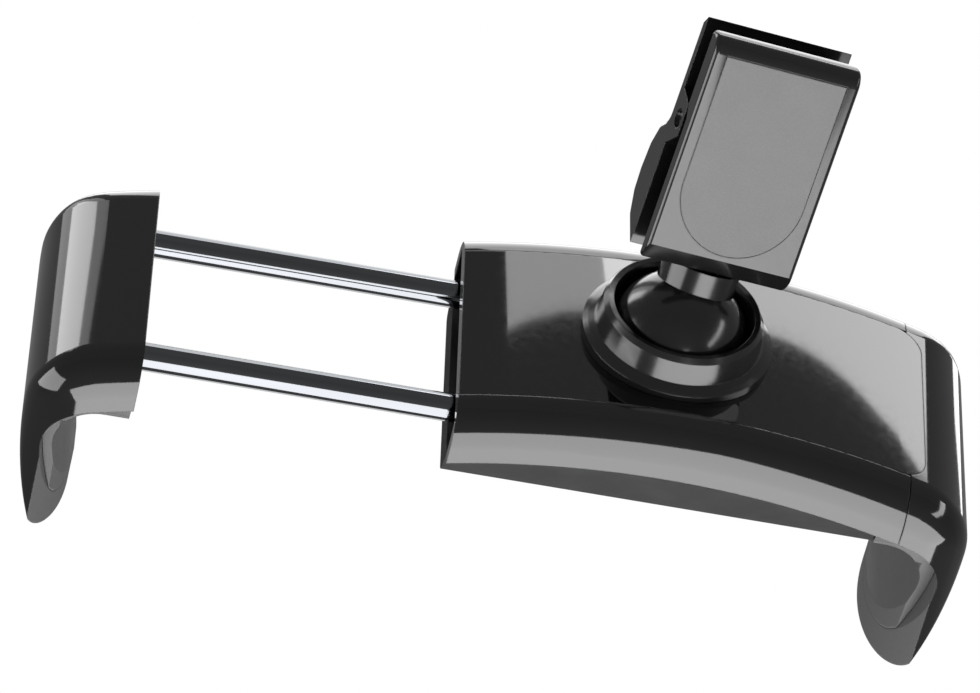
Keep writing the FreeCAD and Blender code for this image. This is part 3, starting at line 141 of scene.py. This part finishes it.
# Gloss jaw whose inner side, turned to the phone, is overmoulded with the liner's elastomer
def twoShot(name, hard, soft, side):
    material = moulded(name, hard)
    tree = material.node_tree
    shader = tree.nodes["Principled BSDF"]
    fine = grain(tree, soft["fine"], noiseValues["rubberDetail"])
    rubber = addNode(tree, "ShaderNodeBsdfPrincipled", {
        "Base Color": tint(tree, fine, soft["dark"], soft["light"]), "Roughness": soft["rough"],
        "Normal": bump(tree, fine, soft["height"]), "IOR": soft["ior"]})
    place = addNode(tree, "ShaderNodeTexCoord")
    facing = addNode(tree, "ShaderNodeSeparateXYZ", {"Vector": place.outputs["Normal"]})
    spot = addNode(tree, "ShaderNodeSeparateXYZ", {"Vector": place.outputs["Object"]})
    inward = addNode(tree, "ShaderNodeMapRange", {"Value": facing.outputs[0],
                                                  "From Min": overmouldValues["turnStart"] * side,
                                                  "From Max": overmouldValues["turnEnd"] * side})
    front = addNode(tree, "ShaderNodeMapRange", {"Value": spot.outputs[1],
                                                 "From Min": overmouldValues["frontStart"],
                                                 "From Max": overmouldValues["frontEnd"]})
    both = addNode(tree, "ShaderNodeMath", {0: inward.outputs[0], 1: front.outputs[0]},
                   operation="MULTIPLY")
    mixed = addNode(tree, "ShaderNodeMixShader", {0: both.outputs[0], 1: shader.outputs[0],
                                                  2: rubber.outputs[0]})
    fill(tree, tree.nodes["Material Output"], {"Surface": mixed.outputs[0]})
    return material


# Metal with waves in its tone and polish; stretch is how many waves a metre holds along X, Y and Z
def metal(name, values):
    tree, shader = newMaterial(name)
    place = addNode(tree, "ShaderNodeTexCoord")
    scaled = addNode(tree, "ShaderNodeMapping", {"Vector": place.outputs["Object"],
                                                 "Scale": values["stretch"]})
    noise = addNode(tree, "ShaderNodeTexNoise", {"Vector": scaled.outputs[0], "Scale": 1.0,
                                                 "Detail": noiseValues["metalDetail"]})
    lines = noise.outputs["Fac"]
    fill(tree, shader, {"Base Color": tint(tree, lines, values["dark"], values["light"]),
                        "Roughness": spread(tree, lines, values["smooth"], values["rough"]),
                        "Metallic": 1.0})
    return bpy.data.materials[name]


# Values of a finish: wave, fine and height are in millimetres, colours are sRGB
# Gloss ABS, moulded in a polished tool: lamps show on it as clear pale fields
glossValues = {"wave": 9, "fine": 0.8, "dark": "0f0f10", "light": "161617", "smooth": 0.06, "rough": 0.10,
               "height": 0.001, "ior": 1.54, "coat": 1.0}
# The same ABS from a finer tool, on the back panel: reflections with hard edges
panelValues = {"wave": 9, "fine": 0.8, "dark": "0d0d0e", "light": "131314", "smooth": 0.03, "rough": 0.06,
               "height": 0.0005, "ior": 1.54, "coat": 1.0}
# Satin ABS of the vent clip: reflections with soft edges
clipValues = {"wave": 6, "fine": 0.7, "dark": "161617", "light": "1d1d1e", "smooth": 0.10, "rough": 0.16,
              "height": 0.001, "ior": 1.54, "coat": 1.0}
# ABS of the collar and the ball stud, duller again: broad soft highlights
collarValues = {"wave": 7, "fine": 0.8, "dark": "101011", "light": "171718", "smooth": 0.16, "rough": 0.22,
                "height": 0.001, "ior": 1.54, "coat": 1.0}
# Acetal of the inner pieces, plain moulded: dark grey that hardly shines
innerValues = {"wave": 5, "fine": 0.4, "dark": "242426", "light": "2c2c2e", "smooth": 0.42, "rough": 0.52,
               "height": 0.004, "ior": 1.5, "coat": 0.0}
# Elastomer of the jaw liners: mid grey and matt
linerValues = {"wave": 4, "fine": 0.25, "dark": "5c5c5d", "light": "6b6b6c", "smooth": 0.42, "rough": 0.52,
               "height": 0.006, "ior": 1.5}
# Elastomer of the front pad and the clip's grips: dull black
padValues = {"wave": 4, "fine": 0.3, "dark": "18181a", "light": "202021", "smooth": 0.55, "rough": 0.65,
             "height": 0.008, "ior": 1.5}
# Elastomer of the thumb pad: even light grey with a grain that shows from close by
thumbValues = {"wave": 3, "fine": 0.16, "dark": "767677", "light": "8b8b8c", "smooth": 0.5, "rough": 0.6,
               "height": 0.012, "ior": 1.5}
# Chromed steel of the rods: near a mirror, with faint lines along the rod
chromeValues = {"stretch": (60, 900, 900), "dark": "808285", "light": "8c8e92",
                "smooth": 0.05, "rough": 0.09}
# Drawn steel of the pin and the spring: bright grey with soft lines
steelValues = {"stretch": (300, 2000, 2000), "dark": "a4a6a8", "light": "c2c4c6",
               "smooth": 0.22, "rough": 0.34}
# Zinc-plated steel of the screws: dull dark grey
zincValues = {"stretch": (900, 900, 900), "dark": "4a4b4e", "light": "5f6063",
              "smooth": 0.3, "rough": 0.42}

materials = {
    "gloss ABS": moulded("gloss ABS", glossValues),
    "polished ABS": moulded("polished ABS", panelValues),
    "satin ABS": moulded("satin ABS", clipValues),
    "collar ABS": moulded("collar ABS", collarValues),
    "fixed jaw ABS": twoShot("fixed jaw ABS", glossValues, linerValues, -1),
    "sliding jaw ABS": twoShot("sliding jaw ABS", glossValues, linerValues, 1),
    "acetal": moulded("acetal", innerValues),
    "liner TPE": elastomer("liner TPE", linerValues),
    "pad TPE": elastomer("pad TPE", padValues),
    "thumb TPE": elastomer("thumb TPE", thumbValues),
    "chrome steel": metal("chrome steel", chromeValues),
    "drawn steel": metal("drawn steel", steelValues),
    "zinc steel": metal("zinc steel", zincValues),
}
finishes = {
    "main_shell": "gloss ABS", "back_panel": "polished ABS", "fixed_jaw_cover": "fixed jaw ABS",
    "sliding_jaw": "sliding jaw ABS", "collar": "collar ABS", "ball_stud": "collar ABS",
    "socket_cup": "acetal", "bush_upper": "acetal", "bush_lower": "acetal", "chassis": "acetal",
    "clip_body": "satin ABS", "clip_lever": "satin ABS",
    "fixed_jaw_liner": "liner TPE", "sliding_jaw_liner": "liner TPE", "front_pad": "pad TPE",
    "thumb_pad": "thumb TPE", "lower_grip": "pad TPE", "upper_grip": "pad TPE",
    "rod_upper": "chrome steel", "rod_lower": "chrome steel", "hinge_pin": "drawn steel",
    "torsion_spring": "drawn steel", "housing_screws": "zinc steel",
}
for nodeName, finish in finishes.items():
    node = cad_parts[nodeName]
    node.data.materials.clear()
    node.data.materials.append(materials[finish])
print("materials set")


# Clip plate with its end at the ball sloped off, as the photograph shows it.
# The ball's centre, the clip's axes, and the cut's place along and across them are in metres.
plateValues = {"ball": (0, -0.0123, 0), "along": (-0.1296, 0.9117, -0.39), "across": (-0.191, 0.363, 0.912),
               "start": -0.0108, "face": -0.00475, "tilt": 33, "merge": 1e-6, "smooth": 12, "weight": 100}


def clipPlate(values):
    along, across = Vector(values["along"]), Vector(values["across"])
    tilt = math.radians(values["tilt"])
    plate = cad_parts["clip_body"].copy()
    plate.data = plate.data.copy()
    plate.name = "clip_plate"
    bpy.context.scene.collection.objects.link(plate)
    bpy.ops.object.select_all(action="DESELECT")
    bpy.context.view_layer.objects.active = plate
    plate.select_set(True)
    bpy.ops.object.mode_set(mode="EDIT")
    bpy.ops.mesh.select_all(action="SELECT")
    bpy.ops.mesh.remove_doubles(threshold=values["merge"])
    bpy.ops.mesh.select_all(action="SELECT")
    bpy.ops.mesh.bisect(plane_co=Vector(values["ball"]) + along * values["start"] + across * values["face"],
                        plane_no=along * math.sin(tilt) - across * math.cos(tilt),
                        use_fill=True, clear_outer=True)
    bpy.ops.mesh.select_all(action="SELECT")
    bpy.ops.mesh.normals_make_consistent(inside=False)
    bpy.ops.object.mode_set(mode="OBJECT")
    # The copy's old normals no longer fit, so flat faces get theirs back by weight
    bpy.ops.mesh.customdata_custom_splitnormals_clear()
    bpy.ops.object.shade_smooth_by_angle(angle=math.radians(values["smooth"]))
    weighted = plate.modifiers.new("weighted", "WEIGHTED_NORMAL")
    weighted.keep_sharp = True
    weighted.weight = values["weight"]
    bpy.ops.object.modifier_apply(modifier="weighted")
    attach(plate, "clip")
    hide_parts("clip_body")


clipPlate(plateValues)
print("clip plate made")


# Camera at the photograph's angle: the view's right and up axes, the point it starts from,
# and its way from there along right, up and back to the viewer, in metres
cameraValues = {"right": (0.98049, -0.19515, 0.02375), "up": (-0.1651, -0.75181, 0.63837),
                "start": (0, -0.0125, 0), "way": (-0.0194, -0.00083, 0.73),
                "sensor": 36, "lens": 257.4, "far": 20}


def photoCamera(values):
    right, up = Vector(values["right"]), Vector(values["up"])
    axes = (right, up, right.cross(up).normalized())
    place = Vector(values["start"])
    for axis, step in zip(axes, values["way"]):
        place = place + axis * step
    data = bpy.data.cameras.new("camera")
    data.sensor_width = values["sensor"]
    data.lens = values["lens"]
    data.clip_end = values["far"]
    item = bpy.data.objects.new("camera", data)
    bpy.context.scene.collection.objects.link(item)
    item.matrix_world = Matrix.Translation(place) @ Matrix(axes).transposed().to_4x4()
    bpy.context.scene.camera = item


photoCamera(cameraValues)
print("camera placed")


# Area lamps: place, aim and size in metres, power in watts, roll in degrees.
# Lamps overhead aim a millimetre to the side, which fixes how they lie.
lampValues = {
    # Low wide softbox: side walls, rods, clip plate
    "low box": {"place": (0.10, 0.13, -0.46), "aim": (0, 0, 0), "size": (0.56, 0.66), "power": 4.0},
    # Softboxes overhead, one for each light field on the panel and the jaws
    "panel left box": {"place": (-0.02, -0.175, 0.25), "aim": (-0.02, -0.174, 0), "size": (0.07, 0.08),
                       "power": 0.035},
    "panel right box": {"place": (0.093, -0.171, 0.25), "aim": (0.093, -0.170, 0), "size": (0.20, 0.05),
                        "power": 0.10, "roll": 19},
    "rim box": {"place": (0.025, -0.012, 0.25), "aim": (0.025, -0.011, 0), "size": (0.25, 0.245),
                "power": 0.33},
    "streak box": {"place": (0.20, 0.105, 0.25), "aim": (0.20, 0.106, 0), "size": (0.05, 0.06),
                   "power": 0.02},
    "jaw box": {"place": (-0.245, -0.08, 0.25), "aim": (-0.245, -0.079, 0), "size": (0.09, 0.13),
                "power": 0.08},
    "jaw fill box": {"place": (-0.24, -0.07, 0.26), "aim": (-0.24, -0.069, 0), "size": (0.17, 0.24),
                     "power": 0.10},
    # Tall strips at both sides, and a box on the phone's side
    "left strip": {"place": (-0.50, 0.0, -0.14), "aim": (0, 0, 0), "size": (0.30, 0.5), "power": 1.2},
    "phone side box": {"place": (0.0, 0.70, 0.20), "aim": (0, 0, 0), "size": (0.6, 0.4), "power": 1.0},
    "right strip": {"place": (0.5, -0.3, -0.1), "aim": (0.02, 0, 0), "size": (0.06, 0.5), "power": 0.3},
}


def lamp(name, values):
    data = bpy.data.lights.new(name, "AREA")
    data.shape = "RECTANGLE"
    data.size, data.size_y = values["size"]
    data.energy = values["power"]
    item = bpy.data.objects.new(name, data)
    bpy.context.scene.collection.objects.link(item)
    place, aim = Vector(values["place"]), Vector(values["aim"])
    turn = (aim - place).to_track_quat("-Z", "Y").to_matrix().to_4x4()
    item.matrix_world = Matrix.Rotation(math.radians(values.get("roll", 0)), 4, "Z") @ turn
    item.location = place


for lampName, values in lampValues.items():
    lamp(lampName, values)
print("lamps placed:", len(lampValues))


# White studio: the camera sees plain white, the object a soft grey surround
worldValues = {"colour": (1, 1, 1, 1), "surround": 0.15, "seen": 1.0}


def whiteWorld(values):
    world = bpy.data.worlds.new("studio")
    bpy.context.scene.world = world
    world.use_nodes = True
    tree = world.node_tree
    rays = addNode(tree, "ShaderNodeLightPath")
    level = addNode(tree, "ShaderNodeMapRange", {"Value": rays.outputs["Is Camera Ray"],
                                                 "To Min": values["surround"], "To Max": values["seen"]})
    fill(tree, tree.nodes["Background"], {"Color": values["colour"], "Strength": level.outputs[0]})


whiteWorld(worldValues)

# White painted floor, far below and wide, pale all over for the camera
floorValues = {"size": 60, "height": -1.2, "colour": "f4f4f4", "rough": 0.8, "glow": 1.0}


def whiteFloor(values):
    bpy.ops.mesh.primitive_plane_add(size=values["size"], location=(0, 0, values["height"]))
    floor = bpy.context.object
    floor.name = "floor"
    tree, shader = newMaterial("white floor")
    fill(tree, shader, {"Base Color": linear(values["colour"]), "Roughness": values["rough"]})
    rays = addNode(tree, "ShaderNodeLightPath")
    glow = addNode(tree, "ShaderNodeEmission", {"Color": linear(values["colour"]),
                                                "Strength": values["glow"]})
    mixed = addNode(tree, "ShaderNodeMixShader", {0: rays.outputs["Is Camera Ray"], 1: shader.outputs[0],
                                                  2: glow.outputs[0]})
    fill(tree, tree.nodes["Material Output"], {"Surface": mixed.outputs[0]})
    floor.data.materials.append(bpy.data.materials["white floor"])


whiteFloor(floorValues)

bpy.context.scene.view_settings.view_transform = "Standard"
print("scene ready")
